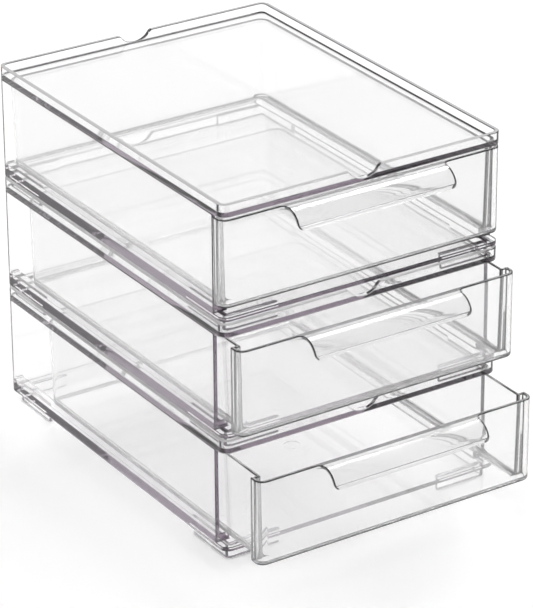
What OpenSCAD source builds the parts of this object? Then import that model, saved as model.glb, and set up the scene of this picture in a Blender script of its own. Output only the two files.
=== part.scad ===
// Three clear drawer units stacked one on another, each a casing, a lid and a drawer.
// X runs to the right along the drawer fronts, Y to the rear and Z up; every size is in mm.
// The origin lies under the middle of the whole object, on the plane its feet stand on.

/* [Unit] */
// Overall width of a unit
unit_w = 200; // [170:1:260]
// Depth of a unit with its drawer shut
unit_d = 262.6; // [200:0.1:340]
// Height that one unit adds to the stack, from foot underside to lid plate
stack_pitch = 76.6; // [60:0.1:110]
// Plan radius of the outer vertical corners
corner_r = 6; // [4:0.5:8]

/* [Casing] */
// Thickness of the side walls and the rear wall
wall_t = 2.6; // [2:0.1:3.2]
// Thickness of the casing floor and of the lid plate
plate_t = 2.8; // [2.2:0.1:3.4]
// How far floor and lid reach in front of the side walls
front_reach = 10.3; // [8:0.1:14]
// Height of the runner ledges that carry the drawer
runner_h = 5.1; // [3:0.1:7]
// Width of each runner ledge
runner_w = 7; // [5:0.5:10]

/* [Feet] */
// Thickness of the corner feet
foot_t = 2.8; // [2.2:0.1:3.4]
// Length of a foot along the front and the rear
foot_leg_w = 36.9; // [25:0.1:60]
// Length of a foot along the sides
foot_leg_d = 39.7; // [25:0.1:70]
// Gap on each side between a foot and the lid rim around it
nest_gap = 1.8; // [1:0.1:2.5]
// Gap between the lid rim and the casing floor above it
stack_gap = 1.8; // [1:0.1:3]

/* [Lid] */
// Thickness of the rim round the lid
rim_t = 2.8; // [2.2:0.1:3.4]
// Height of the rim above the lid plate
rim_h = 5.9; // [4.5:0.1:7]
// Width of the finger notch at the top of the rim
notch_w = 22.5; // [16:0.5:40]

/* [Drawer] */
// Thickness of the drawer front
front_t = 2.4; // [2:0.1:3]
// Thickness of the tray walls and of the tray floor
tray_t = 2; // [1.6:0.1:2.6]
// Draft of the tray walls in degrees
tray_draft = 1.2; // [0.5:0.1:2]
// Radius between the tray floor and the walls, inside
floor_r = 4; // [2:0.5:6]
// Running gap between the tray and each casing wall
side_gap = 1.7; // [0.6:0.1:2.4]
// Gap between the drawer and the lid plate over it
top_gap = 1.2; // [0.6:0.1:2]
// Gap between the tray and the rear wall with the drawer shut
rear_gap = 3.8; // [1:0.1:8]
// Distance of the round gate mark behind the drawer front
gate_y = 117; // [80:1:150]
// Diameter of the gate mark under the tray floor
gate_d = 10.6; // [6:0.1:16]

/* [Grip] */
// Width of the grip lip
grip_w = 112.6; // [80:0.2:130]
// How far the grip stands out from the drawer front
grip_out = 15; // [12.5:0.1:22]
// How far the grip hangs down below the top of the drawer front
grip_drop = 11.7; // [9:0.1:14]
// Thickness of the grip lip
grip_t = 2.2; // [1.8:0.1:2.8]

/* [Position] */
// How far the bottom drawer is pulled out
open_bottom = 38.4; // [0:0.1:160]
// How far the middle drawer is pulled out
open_middle = 17.9; // [0:0.1:160]
// How far the top drawer is pulled out
open_top = 0; // [0:0.1:160]

/* [Hidden] */
$fn = 64;
clear = [0.93, 0.93, 0.95, 0.4];

// Gaps that keep moving faces apart
run_gap = 0.4;
stop_gap = 0.3;

// Levels in a unit, from the underside of its feet
foot_h = rim_h + stack_gap;
floor_z = foot_h + plate_t;
plate_z = stack_pitch - plate_t;
tray_z = floor_z + runner_h + run_gap;
front_top = plate_z - top_gap;

// Casing
front_y = -unit_d / 2;
wall_y = front_y + front_reach;
inner_w = unit_w - 2 * wall_t;
inner_rear = unit_d / 2 - wall_t;
foot_inset = rim_t + nest_gap;
foot_r = foot_t + 0.7;

// Lid notch, an arc through both ends of its width that dips a little into the plate
notch_dip = 0.4;
notch_deep = rim_h + notch_dip;
notch_r = (notch_w * notch_w / 4 + notch_deep * notch_deep) / (2 * notch_deep);
notch_z = notch_r - notch_dip;
shoulder_r = min(2, notch_deep / 3);
shoulder_z = rim_h - shoulder_r;
shoulder_x = sqrt(pow(notch_r + shoulder_r, 2) - pow(notch_z - shoulder_z, 2));

// Drawer
front_h = front_top - tray_z;
tray_w = inner_w - 2 * side_gap;
tray_rear = inner_rear - rear_gap;
side_d = front_reach - stop_gap;
lean = tan(tray_draft);
tray_r = tray_t + floor_r + lean * front_h + 0.8;
web_y = front_y + side_d - tray_t;
tray_hw = tray_w / 2 - tray_r;
tray_hy = tray_rear - tray_r;
web_in = tray_w / 2 - tray_t * 0.85;
front_r = min(corner_r, side_d - tray_t - 0.5);
gate_depth = 0.4;

// Grip
bend_r = min(grip_drop, grip_out - 0.5);
grip_root = 3.7;
grip_corner = 4.5;
bead_r = grip_t / 2 + 0.35;

// The origin is centred between the rear walls and the grip that stands out furthest
frame_y = (max(open_bottom, open_middle, open_top) + grip_out) / 2;

// A rectangle with four round corners, centred on the unit
module rounded_plan(w, d, r) {
    square([w - 2 * r, d], center = true);
    square([w, d - 2 * r], center = true);
    for (x = [-1, 1], y = [-1, 1])
        translate([x * (w / 2 - r), y * (d / 2 - r)])
            circle(r);
}

// Side walls and rear wall, open towards the front
module wall_plan() {
    difference() {
        rounded_plan(unit_w, unit_d, corner_r);
        rounded_plan(inner_w, unit_d - 2 * wall_t, corner_r - wall_t);
        translate([-unit_w, front_y - 1])
            square([2 * unit_w, front_reach + 1]);
    }
}

// Runner ledges along both side walls, let into the walls by half their thickness
module runner_plan() {
    intersection() {
        rounded_plan(unit_w - wall_t, unit_d - wall_t, corner_r - wall_t / 2);
        for (x = [-1, 1])
            translate([x * inner_w / 2, wall_y + unit_d / 2])
                square([2 * runner_w, unit_d], center = true);
    }
}

// Four corner feet, each an angle with rounded ends
module foot_plan() {
    out_w = unit_w / 2 - foot_inset;
    out_d = unit_d / 2 - foot_inset;
    difference() {
        rounded_plan(2 * out_w, 2 * out_d, foot_r);
        rounded_plan(2 * (out_w - foot_t), 2 * (out_d - foot_t), foot_r - foot_t);
        square([2 * (out_w - foot_leg_w + foot_t / 2), 2 * unit_d], center = true);
        square([2 * unit_w, 2 * (out_d - foot_leg_d + foot_t / 2)], center = true);
    }
    for (x = [-1, 1], y = [-1, 1]) {
        translate([x * (out_w - foot_leg_w + foot_t / 2), y * (out_d - foot_t / 2)])
            circle(foot_t / 2);
        translate([x * (out_w - foot_t / 2), y * (out_d - foot_leg_d + foot_t / 2)])
            circle(foot_t / 2);
    }
}

// Floor on four feet with the side walls, the rear wall and the drawer runners
module casing() {
    color(clear) {
        linear_extrude(foot_h)
            foot_plan();
        translate([0, 0, foot_h])
            linear_extrude(plate_t)
                rounded_plan(unit_w, unit_d, corner_r);
        translate([0, 0, floor_z])
            linear_extrude(plate_z - floor_z)
                wall_plan();
        translate([0, 0, floor_z])
            linear_extrude(runner_h)
                runner_plan();
    }
}

// Outline that is cut out of rim and plate for a finger, seen from the front
module notch_shape() {
    difference() {
        union() {
            translate([0, notch_z])
                circle(notch_r);
            translate([-shoulder_x, notch_z - (notch_z - shoulder_z) * notch_r / (notch_r + shoulder_r)])
                square([2 * shoulder_x, 3 * notch_r]);
        }
        for (x = [-1, 1])
            translate([x * shoulder_x, shoulder_z])
                circle(shoulder_r);
    }
}

// Flat plate with an upright rim that has a finger notch at the front and at the rear
module lid() {
    color(clear) {
        difference() {
            union() {
                translate([0, 0, plate_z])
                    linear_extrude(plate_t)
                        rounded_plan(unit_w, unit_d, corner_r);
                translate([0, 0, plate_z + plate_t / 2])
                    linear_extrude(plate_t / 2 + rim_h)
                        difference() {
                            rounded_plan(unit_w, unit_d, corner_r);
                            rounded_plan(unit_w - 2 * rim_t, unit_d - 2 * rim_t, corner_r - rim_t);
                        }
            }
            for (y = [0, 1])
                mirror([0, y, 0])
                    translate([0, front_y + rim_t + notch_dip, stack_pitch])
                        rotate([90, 0, 0])
                            linear_extrude(2 * rim_t)
                                notch_shape();
        }
    }
}

// Section through a tray wall and the floor beside it, from the axis of a rear corner outwards
module tray_section() {
    foot_x = tray_r - lean * front_h;
    in_x = foot_x - tray_t + lean * (tray_t + floor_r);
    arc_x = in_x - floor_r / cos(tray_draft);
    arc_z = tray_t + floor_r;
    difference() {
        union() {
            square([foot_x - tray_t / 2, tray_t]);
            polygon([[foot_x - tray_t, 0], [foot_x, 0], [tray_r, front_h], [tray_r - tray_t, front_h]]);
            polygon([[arc_x, tray_t / 2], [foot_x - tray_t / 2, tray_t / 2],
                     [in_x + floor_r * (cos(tray_draft) - 1 / cos(tray_draft)) + tray_t / 2, arc_z],
                     [arc_x + floor_r * cos(tray_draft), arc_z - floor_r * sin(tray_draft)],
                     [arc_x, arc_z]]);
        }
        translate([arc_x, arc_z])
            circle(floor_r);
    }
}

// Drawer front in plan with its two returns, drawn in by an inset all round but at the rear
module front_plan(inset) {
    hw = unit_w / 2 - inset;
    r = front_r - inset;
    difference() {
        union() {
            translate([-hw + r, front_y + inset])
                square([2 * (hw - r), side_d]);
            translate([-hw, front_y + front_r])
                square([2 * hw, side_d]);
            for (x = [-1, 1])
                translate([x * (hw - r), front_y + front_r])
                    circle(r);
        }
        translate([-unit_w, front_y + side_d])
            square([2 * unit_w, unit_d]);
    }
}

// Space between the drawer front, its returns and the webs that close them behind, in plan
module front_hollow() {
    intersection() {
        front_plan(front_t);
        translate([-unit_w, front_y])
            square([2 * unit_w, web_y - front_y]);
    }
    translate([-web_in, front_y + front_r])
        square([2 * web_in, side_d]);
}

// Section of the grip: a lip that leaves the top of the front level and bends down
module grip_section() {
    difference() {
        union() {
            translate([-front_t / 2, -grip_t])
                square([grip_out - bend_r + front_t / 2 + 0.01, grip_t]);
            translate([grip_out - bend_r, -bend_r])
                difference() {
                    circle(bend_r);
                    circle(bend_r - grip_t);
                    translate([-2 * bend_r, -bend_r])
                        square([2 * bend_r, 2 * bend_r]);
                    translate([-bend_r, -2 * bend_r])
                        square([2 * bend_r + 1, 2 * bend_r]);
                }
            if (grip_drop > bend_r)
                translate([grip_out - grip_t, -grip_drop])
                    square([grip_t, grip_drop - bend_r + 0.01]);
        }
        translate([grip_out - grip_t - 1, -grip_drop - 1])
            square([grip_t + 2, 1 + bead_r]);
    }
    translate([grip_out - bead_r, bead_r - grip_drop])
        circle(bead_r);
}

// Outline of the grip from above, wider where it leaves the drawer front
module grip_plan() {
    translate([-grip_w / 2, -grip_out - 1])
        square([grip_w, grip_out + 1 + front_t / 2]);
    difference() {
        translate([-grip_w / 2 - grip_root, -grip_root])
            square([grip_w + 2 * grip_root, grip_root + front_t / 2]);
        for (x = [-1, 1])
            translate([x * (grip_w / 2 + grip_root), -grip_root])
                circle(grip_root);
    }
}

// Outline of the grip from the front, with round lower corners
module grip_face() {
    wide = grip_w + 2 * grip_root;
    translate([-wide / 2, grip_corner - grip_drop])
        square([wide, grip_drop]);
    translate([-grip_w / 2 + grip_corner, -grip_drop])
        square([grip_w - 2 * grip_corner, grip_drop]);
    for (x = [-1, 1])
        translate([x * (grip_w / 2 - grip_corner), grip_corner - grip_drop])
            circle(grip_corner);
}

module grip() {
    translate([0, front_y, front_top])
        intersection() {
            translate([-unit_w / 2, 0, 0])
                rotate([90, 0, 90])
                    linear_extrude(unit_w)
                        mirror([1, 0])
                            grip_section();
            translate([0, 0, -grip_drop - 1])
                linear_extrude(grip_drop + 2)
                    grip_plan();
            translate([0, front_t, 0])
                rotate([90, 0, 0])
                    linear_extrude(grip_out + front_t + 1)
                        grip_face();
        }
}

// Tray behind the front: two side walls, the rear wall and the corners between them
module tray() {
    translate([0, 0, tray_z]) {
        for (x = [0, 1])
            mirror([x, 0, 0]) {
                translate([tray_hw, tray_hy, 0]) {
                    rotate([90, 0, 0])
                        linear_extrude(tray_hy - web_y)
                            tray_section();
                    rotate_extrude(angle = 90)
                        tray_section();
                }
            }
        translate([-tray_hw, tray_hy, 0])
            rotate([90, 0, 90])
                linear_extrude(2 * tray_hw)
                    tray_section();
        difference() {
            translate([-tray_hw, web_y, 0])
                cube([2 * tray_hw, tray_hy - web_y, tray_t]);
            translate([0, front_y + gate_y, -1])
                cylinder(h = 1 + gate_depth, d = gate_d);
        }
    }
}

// Drawer in one piece: front with its returns, tray and grip
module drawer(open) {
    color(clear)
        translate([0, -open, 0]) {
            translate([0, 0, tray_z]) {
                linear_extrude(tray_t)
                    front_plan(0);
                linear_extrude(front_h)
                    difference() {
                        front_plan(0);
                        front_hollow();
                    }
            }
            tray();
            grip();
        }
}

module place(level) {
    translate([0, frame_y, level * stack_pitch])
        children();
}

module bottom_casing() {
    place(0)
        casing();
}

module bottom_lid() {
    place(0)
        lid();
}

module bottom_drawer() {
    place(0)
        drawer(open_bottom);
}

module middle_casing() {
    place(1)
        casing();
}

module middle_lid() {
    place(1)
        lid();
}

module middle_drawer() {
    place(1)
        drawer(open_middle);
}

module top_casing() {
    place(2)
        casing();
}

module top_lid() {
    place(2)
        lid();
}

module top_drawer() {
    place(2)
        drawer(open_top);
}

bottom_casing();
bottom_lid();
bottom_drawer();
middle_casing();
middle_lid();
middle_drawer();
top_casing();
top_lid();
top_drawer();
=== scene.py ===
import bpy, math
from mathutils import Matrix, Vector

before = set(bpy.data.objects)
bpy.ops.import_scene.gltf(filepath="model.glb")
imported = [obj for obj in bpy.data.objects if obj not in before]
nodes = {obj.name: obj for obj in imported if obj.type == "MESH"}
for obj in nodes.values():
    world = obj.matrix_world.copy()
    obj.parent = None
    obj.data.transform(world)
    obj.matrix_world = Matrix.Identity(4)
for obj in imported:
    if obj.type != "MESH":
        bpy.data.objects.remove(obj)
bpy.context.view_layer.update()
scene = bpy.context.scene

# ---------------------------------------------------------------- named values
# The camera, fitted to the corners of the object in the photo, whose longer side is its height.
EYE = Vector((-1.084575, -1.673687, 1.067323))
HEADING = math.radians(32.9014)  # turned to the right from +Y
TILT = math.radians(25.7531)  # down from the horizontal
ROLL = math.radians(-0.3208)
FOCAL_PX = 3549.443
LONG_SIDE_PX = 608.0
SENSOR_MM = 36.0
CLIP_NEAR = 0.05
CLIP_FAR = 50.0

# Rounded edges: the radius on a moulding's edges and the one round its foot. The bevel has one width, and
# each edge takes a share of it by its weight.
EDGE_R = {"casing": 0.0004, "lid": 0.0004, "drawer": 0.0006}
FOOT_R = {"casing": 0.0008, "lid": 0.0008, "drawer": 0.0016}
WIDEST = max(FOOT_R.values())
BEVEL_STEPS = 2
SAME_SPOT = 0.00001  # points closer than this are one point
SPOT_DIGITS = 6
NARROW = 2  # a face narrower than this many radii keeps its edges sharp
FLAT = math.radians(0.5)  # faces that meet at less make one flat face
SHARP = math.radians(40)  # faces that meet at more have an edge to round
WEDGE = math.radians(25)  # of two edges that meet at less, the shorter stays sharp
TIP = math.radians(10)  # two edges that meet at less both stay sharp
NORMAL_WEIGHT = 100  # the largest faces set the shading of the strips beside them

# Clear plastic. An absorption is a colour and a density per metre.
IOR = 1.5
PURPLE = ((0.51, 0.445, 0.515), 10.0)
GREY = ((0.7, 0.7, 0.7), 1.5)
COLOURLESS = (1.0, 1.0, 1.0)
DRAWER_CLEAR = 0.93  # the rest is milky
SHADOW_THROUGH = (0.962, 0.962, 0.962)  # what each surface lets through of the lamp's light
HAZE_SCALE = 35.0
HAZE_DETAIL = 3.0
HAZE_RANGE = (0.45, 0.75)
HAZE_ROUGH = 0.012
FLOW_SCALE = 28.0
FLOW_DETAIL = 1.0
FLOW_DEPTH = 0.00003

# The strips on the rounded edges: colour, darker colour, and the share that is clear and not matt. The
# casing's and drawers' grey edge colours and all the darker ones are painted shade that draws dark outlines.
EDGE_ROUGH = 0.05
# painted grey shade on the casing's edges; the dark one is painted shade at its front
CASING_EDGE_SHADE = (0.70, 0.68, 0.70)
CASING_EDGE_DARK_SHADE = (0.12, 0.10, 0.125)
LID_EDGE = (0.97, 0.96, 0.97)
# painted dark shade on the lid's rear and right edges
LID_EDGE_DARK_SHADE = (0.006, 0.005, 0.006)
LID_EDGE_CLEAR = 0.5
RIM_TOP = (0.97, 0.965, 0.97)
RIM_TOP_CLEAR = 0.5
# painted grey shade on the drawers' edges; the dark one is painted shade at their fronts
DRAWER_EDGE_SHADE = (0.70, 0.70, 0.70)
DRAWER_EDGE_DARK_SHADE = (0.003, 0.003, 0.003)
DRAWER_EDGE_CLEAR = 0.6

# Where the strips change to the darker painted shade, as shares of a moulding's own box.
CASING_FRONT = (0.05, 0.10)
DRAWER_FRONT = (0.12, 0.17)
LID_RIGHT = (0.93, 0.96)
LID_REAR = (0.985, 0.99)
LID_UPPER = (0.5, 0.7)

# Floor, world and lamp. The ranges behind and in front are cosines of the angle to that side, and the
# ceiling's is the sine of the angle above the horizon.
FLOOR_HALF = 6.0
FLOOR_GAP = 0.0003
FLOOR_COLOUR = (0.82, 0.82, 0.82)
FLOOR_GLOW = 0.26
WORLD_LIGHT = 0.72
WORLD_DIM = 0.12
WORLD_BEHIND = 1.0 - WORLD_DIM
WORLD_FRONT = 0.25
BEHIND = Vector((math.sin(HEADING), math.cos(HEADING), 0))
BEHIND_RANGE = (0.40, 0.75)
FRONT_RANGE = (0.50, 0.90)
CEILING_RANGE = (0.62, 0.85)
KEY_PLACE = Vector((1.6, 1.3, 2.4))
KEY_AIM = Vector((0, 0, 0.1))
KEY_SIZE = 0.9
KEY_WATTS = 38.0

CLEAR_BOUNCES = 128
SHADOW_BOUNCES = 48
DIFFUSE_BOUNCES = 4


# ---------------------------------------------------------------- node helpers
# In each function n is the nodes of a material or the world and l is its links.
def new_material(name):
    """Gives an empty node material with its nodes and links."""
    mat = bpy.data.materials.new(name)
    mat.use_nodes = True
    mat.node_tree.nodes.clear()
    return mat, mat.node_tree.nodes, mat.node_tree.links


def math_node(n, l, op, a, b=0.0, c=0.0):
    """Adds one math node and gives its result; a, b and c are numbers or sockets."""
    m = n.new("ShaderNodeMath")
    m.operation = op
    for socket, value in zip(m.inputs, (a, b, c)):
        if isinstance(value, (int, float)):
            socket.default_value = value
        else:
            l.new(value, socket)
    return m.outputs[0]


def vector_node(n, l, op, value, other=(0, 0, 0)):
    """Adds one vector node for a socket and a fixed vector and gives its result."""
    v = n.new("ShaderNodeVectorMath")
    v.operation = op
    l.new(value, v.inputs[0])
    v.inputs[1].default_value = other
    return v.outputs["Value" if op == "DOT_PRODUCT" else "Vector"]


def split(n, l, value):
    """Gives the X, Y and Z of a vector socket."""
    xyz = n.new("ShaderNodeSeparateXYZ")
    l.new(value, xyz.inputs[0])
    return xyz.outputs["X"], xyz.outputs["Y"], xyz.outputs["Z"]


def ramp(n, l, value, low, high):
    """Gives 0 below low and 1 above high, with a soft step between."""
    r = n.new("ShaderNodeMapRange")
    r.interpolation_type = "SMOOTHSTEP"
    r.inputs["From Min"].default_value = low
    r.inputs["From Max"].default_value = high
    l.new(value, r.inputs["Value"])
    return r.outputs[0]


def noise(n, l, place, scale, detail):
    """Gives a noise value at a place."""
    t = n.new("ShaderNodeTexNoise")
    t.inputs["Scale"].default_value = scale
    t.inputs["Detail"].default_value = detail
    l.new(place, t.inputs["Vector"])
    return t.outputs[0]


def seen_ray(n, l):
    """Gives 1 for a ray from the camera, also by reflection or through plastic, and else 0."""
    path = n.new("ShaderNodeLightPath")
    direct = math_node(n, l, "MAXIMUM", path.outputs["Is Camera Ray"], path.outputs["Is Glossy Ray"])
    return math_node(n, l, "MAXIMUM", direct, path.outputs["Is Transmission Ray"])


# ---------------------------------------------------------------- clear plastic
def haze(n, l, place, rough):
    """Gives a roughness that rises a little in soft patches."""
    dull = n.new("ShaderNodeMapRange")
    dull.inputs["From Min"].default_value = HAZE_RANGE[0]
    dull.inputs["From Max"].default_value = HAZE_RANGE[1]
    dull.inputs["To Min"].default_value = rough
    dull.inputs["To Max"].default_value = rough + HAZE_ROUGH
    l.new(noise(n, l, place, HAZE_SCALE, HAZE_DETAIL), dull.inputs["Value"])
    return dull.outputs[0]


def flow_waves(n, l, place):
    """Gives the normal of a moulded surface with faint flow waves."""
    wave = n.new("ShaderNodeBump")
    wave.inputs["Strength"].default_value = 1.0
    wave.inputs["Distance"].default_value = FLOW_DEPTH
    l.new(noise(n, l, place, FLOW_SCALE, FLOW_DETAIL), wave.inputs["Height"])
    return wave.outputs[0]


def tint_and_painted_shade(n, l, colour_and_shade, dark, where_dark):
    """Gives the colour, and the darker painted shade in the part of the moulding that the mask names."""
    place = n.new("ShaderNodeTexCoord").outputs["Generated"]
    blend = n.new("ShaderNodeMix")
    blend.data_type = "RGBA"
    blend.inputs["A"].default_value = (*colour_and_shade, 1)
    blend.inputs["B"].default_value = (*dark, 1)
    l.new(where_dark(n, l, place), blend.inputs["Factor"])
    return blend.outputs["Result"]


def clear_plastic(name, absorption, colour_and_shade=COLOURLESS, rough=0.0, clear=1.0, dark=None, where_dark=None):
    """Clear moulded plastic: it refracts what is seen and lets the lamp's light through."""
    mat, n, l = new_material(name)
    surface = n.new("ShaderNodeBsdfPrincipled")
    surface.inputs["Base Color"].default_value = (*colour_and_shade, 1)
    surface.inputs["IOR"].default_value = IOR
    surface.inputs["Transmission Weight"].default_value = clear
    # On the edge strips the base colour is painted shade, darker where the mask says.
    if dark:
        l.new(tint_and_painted_shade(n, l, colour_and_shade, dark, where_dark), surface.inputs["Base Color"])
    place = n.new("ShaderNodeTexCoord").outputs["Object"]
    l.new(haze(n, l, place, rough), surface.inputs["Roughness"])
    l.new(flow_waves(n, l, place), surface.inputs["Normal"])

    through = n.new("ShaderNodeBsdfTransparent")
    through.inputs["Color"].default_value = (*SHADOW_THROUGH, 1)
    mix = n.new("ShaderNodeMixShader")
    l.new(n.new("ShaderNodeLightPath").outputs["Is Shadow Ray"], mix.inputs[0])
    l.new(surface.outputs[0], mix.inputs[1])
    l.new(through.outputs[0], mix.inputs[2])

    inside = n.new("ShaderNodeVolumeAbsorption")
    colour, density = absorption
    inside.inputs["Color"].default_value = (*colour, 1)
    inside.inputs["Density"].default_value = density

    out = n.new("ShaderNodeOutputMaterial")
    l.new(mix.outputs[0], out.inputs["Surface"])
    l.new(inside.outputs[0], out.inputs["Volume"])
    return mat


def front_of(reach):
    """Gives the function that marks a moulding's front, where the edge strips get the darker painted shade;
    the mark fades out over the reach.
    """
    def front(n, l, place):
        y = split(n, l, place)[1]
        return math_node(n, l, "SUBTRACT", 1.0, ramp(n, l, y, *reach))

    return front


def rear_and_right(n, l, place):
    """Marks the upper edges of the lid's rear rim and all edges of its right rim, where the lid's edge
    strips get painted dark shade.
    """
    x, y, z = split(n, l, place)
    rear = math_node(n, l, "MULTIPLY", ramp(n, l, y, *LID_REAR), ramp(n, l, z, *LID_UPPER))
    return math_node(n, l, "MAXIMUM", ramp(n, l, x, *LID_RIGHT), rear)


def edge_plastic(name, absorption, colour_and_shade, **more):
    """The plastic of the rounded edges, whose colour holds the painted shade that draws the outlines of the
    mouldings.
    """
    return clear_plastic(name, absorption, colour_and_shade, EDGE_ROUGH, **more)


# The edge plastics hold painted shade in their colour: grey on casing and drawer edges, darker at their
# fronts and on the lid's rear and right edges.
PLASTICS = {
    "casing": [
        clear_plastic("casing_clear", PURPLE),
        edge_plastic(
            "casing_edge_painted_shade", PURPLE, CASING_EDGE_SHADE, dark=CASING_EDGE_DARK_SHADE, where_dark=front_of(CASING_FRONT)
        ),
    ],
    "lid": [
        clear_plastic("lid_clear", PURPLE),
        edge_plastic(
            "lid_edge_frost_and_painted_shade", PURPLE, LID_EDGE, clear=LID_EDGE_CLEAR, dark=LID_EDGE_DARK_SHADE, where_dark=rear_and_right
        ),
        edge_plastic("rim_top", PURPLE, RIM_TOP, clear=RIM_TOP_CLEAR),
    ],
    "drawer": [
        clear_plastic("drawer_clear", GREY, clear=DRAWER_CLEAR),
        edge_plastic(
            "drawer_edge_painted_shade", GREY, DRAWER_EDGE_SHADE, clear=DRAWER_EDGE_CLEAR, dark=DRAWER_EDGE_DARK_SHADE,
            where_dark=front_of(DRAWER_FRONT)
        ),
    ],
}
EDGE_SLOT = 1
RIM_TOP_SLOT = 2


# ---------------------------------------------------------------- rounded edges
def flat_regions(me, place):
    """Gives the polygons beside each edge, and for each polygon the point ids of its flat region."""
    region = list(range(len(me.polygons)))

    def root(i):
        while region[i] != i:
            i = region[i]
        return i

    sides = {}
    for p in me.polygons:
        for a, b in p.edge_keys:
            sides.setdefault(frozenset((place[a], place[b])), []).append(p)
    for pair in sides.values():
        if len(pair) == 2 and pair[0].normal.angle(pair[1].normal, 0.0) < FLAT:
            region[root(pair[0].index)] = root(pair[1].index)
    points = {}
    for p in me.polygons:
        points.setdefault(root(p.index), set()).update(place[v] for v in p.vertices)
    return sides, {p.index: points[root(p.index)] for p in me.polygons}


def sharp_edges(sides):
    """Gives the edges whose two faces meet at more than SHARP."""
    return {
        edge
        for edge, faces in sides.items()
        if len(edge) == 2 and len(faces) == 2 and faces[0].normal.angle(faces[1].normal, 0.0) > SHARP
    }


def edges_beside_narrow_faces(sharp, sides, regions, spot, radius):
    """Gives the sharp edges with a face beside them that is too narrow for the rounding."""
    found = set()
    for edge in sharp:
        a, b = edge
        run = (spot[b] - spot[a]).normalized()
        for face in sides[edge]:
            width = max((spot[i] - spot[a]).cross(run).length for i in regions[face.index])
            if width < NARROW * radius:
                found.add(edge)
    return found


def edges_at_thin_wedges(sharp, spot):
    """Gives the sharp edges that meet others at so small an angle that their roundings would cross."""
    def length(edge):
        a, b = edge
        return (spot[a] - spot[b]).length

    ways = {}
    for edge in sharp:
        a, b = edge
        run = (spot[b] - spot[a]).normalized()
        ways.setdefault(a, []).append((run, edge))
        ways.setdefault(b, []).append((-run, edge))
    found = set()
    for out in ways.values():
        for i, (way, edge) in enumerate(out):
            for other_way, other in out[:i]:
                if way.angle(other_way) < TIP:
                    found.update((edge, other))
                elif way.angle(other_way) < WEDGE:
                    found.add(min(edge, other, key=lambda e: (length(e), sorted(e))))
    return found


def mark_edges(me, radius, foot):
    """Weighs the sharp edges for the bevel, wider at the foot, and keeps those with no room for it sharp."""
    ids = {}
    place = [ids.setdefault(tuple(round(c, SPOT_DIGITS) for c in v.co), len(ids)) for v in me.vertices]
    spot = {i: Vector(co) for co, i in ids.items()}
    sides, regions = flat_regions(me, place)
    sharp = sharp_edges(sides)
    plain = edges_beside_narrow_faces(sharp, sides, regions, spot, radius)
    plain |= edges_at_thin_wedges(sharp, spot)

    me.attributes.new("bevel_weight_edge", "FLOAT", "EDGE")
    if "sharp_edge" not in me.attributes:
        me.attributes.new("sharp_edge", "BOOLEAN", "EDGE")
    weights = me.attributes["bevel_weight_edge"].data
    marks = me.attributes["sharp_edge"].data
    foot_top = min(v.co.z for v in me.vertices) + SAME_SPOT
    for edge in me.edges:
        key = frozenset(place[v] for v in edge.vertices)
        width = 0.0
        if key in sharp and key not in plain:
            at_foot = max(me.vertices[v].co.z for v in edge.vertices) < foot_top
            width = foot if at_foot else radius
        weights[edge.index].value = width / WIDEST
        marks[edge.index].value = key in plain


def soften(o, radius, foot):
    """Rounds the sharp edges of a moulding, with its own material slot for the rounded strip."""
    me = o.data
    mark_edges(me, radius, foot)
    if "custom_normal" in me.attributes:
        me.attributes.remove(me.attributes["custom_normal"])
    me.polygons.foreach_set("use_smooth", [True] * len(me.polygons))
    weld = o.modifiers.new("join_faces", "WELD")
    weld.merge_threshold = SAME_SPOT
    flat = o.modifiers.new("flat_faces", "DECIMATE")
    flat.decimate_type = "DISSOLVE"
    flat.angle_limit = FLAT
    soft = o.modifiers.new("soft_edges", "BEVEL")
    soft.width = WIDEST
    soft.segments = BEVEL_STEPS
    soft.use_clamp_overlap = False
    soft.limit_method = "WEIGHT"
    soft.material = EDGE_SLOT
    even = o.modifiers.new("even_normals", "WEIGHTED_NORMAL")
    even.mode = "FACE_AREA"
    even.weight = NORMAL_WEIGHT
    even.keep_sharp = True


def frost_top(me, slot):
    """Gives the faces at the very top of a moulding another material slot."""
    top = max(v.co.z for v in me.vertices) - SAME_SPOT
    for p in me.polygons:
        if min(me.vertices[v].co.z for v in p.vertices) > top:
            p.material_index = slot


def dress(o, kind):
    """Rounds a moulding's edges and gives it the plastics of its kind."""
    soften(o, EDGE_R[kind], FOOT_R[kind])
    o.data.materials.clear()
    for plastic in PLASTICS[kind]:
        o.data.materials.append(plastic)
    if kind == "lid":
        frost_top(o.data, RIM_TOP_SLOT)


# ---------------------------------------------------------------- camera, floor and light
def add_camera():
    """The camera of the photo."""
    data = bpy.data.cameras.new("camera")
    data.sensor_fit = "AUTO"
    data.sensor_width = SENSOR_MM
    data.lens = FOCAL_PX / LONG_SIDE_PX * SENSOR_MM
    data.clip_start = CLIP_NEAR
    data.clip_end = CLIP_FAR
    camera = bpy.data.objects.new("camera", data)
    scene.collection.objects.link(camera)
    turn = Matrix.Rotation(-HEADING, 4, "Z")
    nod = Matrix.Rotation(math.radians(90) - TILT, 4, "X")
    lean = Matrix.Rotation(ROLL, 4, "Z")
    camera.matrix_world = Matrix.Translation(EYE) @ turn @ nod @ lean
    scene.camera = camera


def floor_material():
    """A pale floor that keeps the shadow and glows a little in what the camera sees."""
    mat, n, l = new_material("floor")
    matt = n.new("ShaderNodeBsdfDiffuse")
    matt.inputs["Color"].default_value = (*FLOOR_COLOUR, 1)
    glow = n.new("ShaderNodeEmission")
    l.new(math_node(n, l, "MULTIPLY", seen_ray(n, l), FLOOR_GLOW), glow.inputs["Strength"])
    both = n.new("ShaderNodeAddShader")
    l.new(matt.outputs[0], both.inputs[0])
    l.new(glow.outputs[0], both.inputs[1])
    out = n.new("ShaderNodeOutputMaterial")
    l.new(both.outputs[0], out.inputs["Surface"])
    return mat


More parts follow.
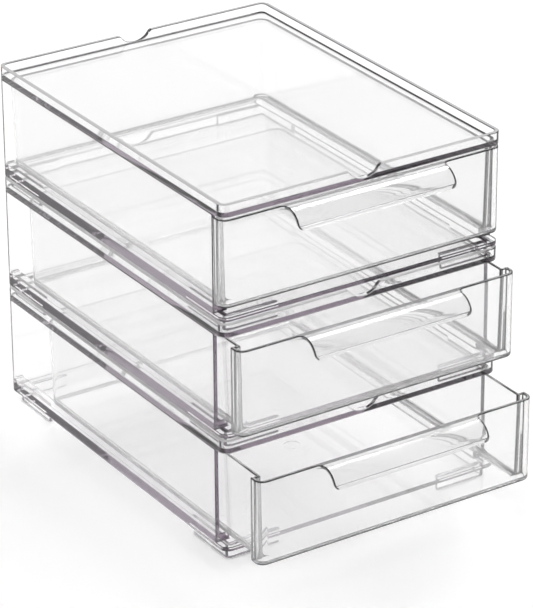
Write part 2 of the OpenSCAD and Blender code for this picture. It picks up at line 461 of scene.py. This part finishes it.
def add_floor():
    """A wide floor just under the feet."""
    me = bpy.data.meshes.new("floor")
    s = FLOOR_HALF
    me.from_pydata([(-s, -s, 0), (s, -s, 0), (s, s, 0), (-s, s, 0)], [], [(0, 1, 2, 3)])
    me.materials.append(floor_material())
    o = bpy.data.objects.new("floor", me)
    scene.collection.objects.link(o)
    o.location = (0, 0, -FLOOR_GAP)


def seen_world(n, l):
    """The studio as the camera sees it through the plastic: white behind the object, with a little light in
    front of it, and dim to the sides and above."""
    way = n.new("ShaderNodeTexCoord").outputs["Generated"]
    height = split(n, l, way)[2]
    level = vector_node(n, l, "NORMALIZE", vector_node(n, l, "MULTIPLY", way, (1, 1, 0)))
    behind = vector_node(n, l, "DOT_PRODUCT", level, BEHIND)
    front = math_node(n, l, "MULTIPLY", behind, -1.0)
    below_ceiling = math_node(n, l, "SUBTRACT", 1.0, ramp(n, l, height, *CEILING_RANGE))
    backdrop = math_node(n, l, "MULTIPLY", ramp(n, l, behind, *BEHIND_RANGE), below_ceiling)
    strength = math_node(n, l, "MULTIPLY_ADD", backdrop, WORLD_BEHIND, WORLD_DIM)
    return math_node(n, l, "MULTIPLY_ADD", ramp(n, l, front, *FRONT_RANGE), WORLD_FRONT, strength)


def add_world():
    """Even white light on the object, and seen_world for what the camera sees."""
    world = bpy.data.worlds.new("world")
    scene.world = world
    world.use_nodes = True
    n, l = world.node_tree.nodes, world.node_tree.links
    n.clear()
    light = n.new("ShaderNodeBackground")
    light.inputs["Color"].default_value = (1, 1, 1, 1)
    light.inputs["Strength"].default_value = WORLD_LIGHT
    seen = n.new("ShaderNodeBackground")
    seen.inputs["Color"].default_value = (1, 1, 1, 1)
    l.new(seen_world(n, l), seen.inputs["Strength"])
    mix = n.new("ShaderNodeMixShader")
    l.new(seen_ray(n, l), mix.inputs[0])
    l.new(light.outputs[0], mix.inputs[1])
    l.new(seen.outputs[0], mix.inputs[2])
    out = n.new("ShaderNodeOutputWorld")
    l.new(mix.outputs[0], out.inputs["Surface"])


def add_key():
    """One large soft lamp above, behind and to the right, which throws the shadow to the left."""
    data = bpy.data.lights.new("key", "AREA")
    data.shape = "DISK"
    data.size = KEY_SIZE
    data.energy = KEY_WATTS
    lamp = bpy.data.objects.new("key", data)
    scene.collection.objects.link(lamp)
    lamp.location = KEY_PLACE
    lamp.rotation_mode = "QUATERNION"
    lamp.rotation_quaternion = (KEY_AIM - KEY_PLACE).to_track_quat("-Z", "Y")


# ---------------------------------------------------------------- the scene
for name, o in nodes.items():
    dress(o, name.split("_")[1])

add_camera()
add_floor()
add_world()
add_key()

scene.view_settings.view_transform = "Standard"
scene.cycles.max_bounces = CLEAR_BOUNCES
scene.cycles.transmission_bounces = CLEAR_BOUNCES
scene.cycles.glossy_bounces = CLEAR_BOUNCES
scene.cycles.transparent_max_bounces = SHADOW_BOUNCES
scene.cycles.diffuse_bounces = DIFFUSE_BOUNCES
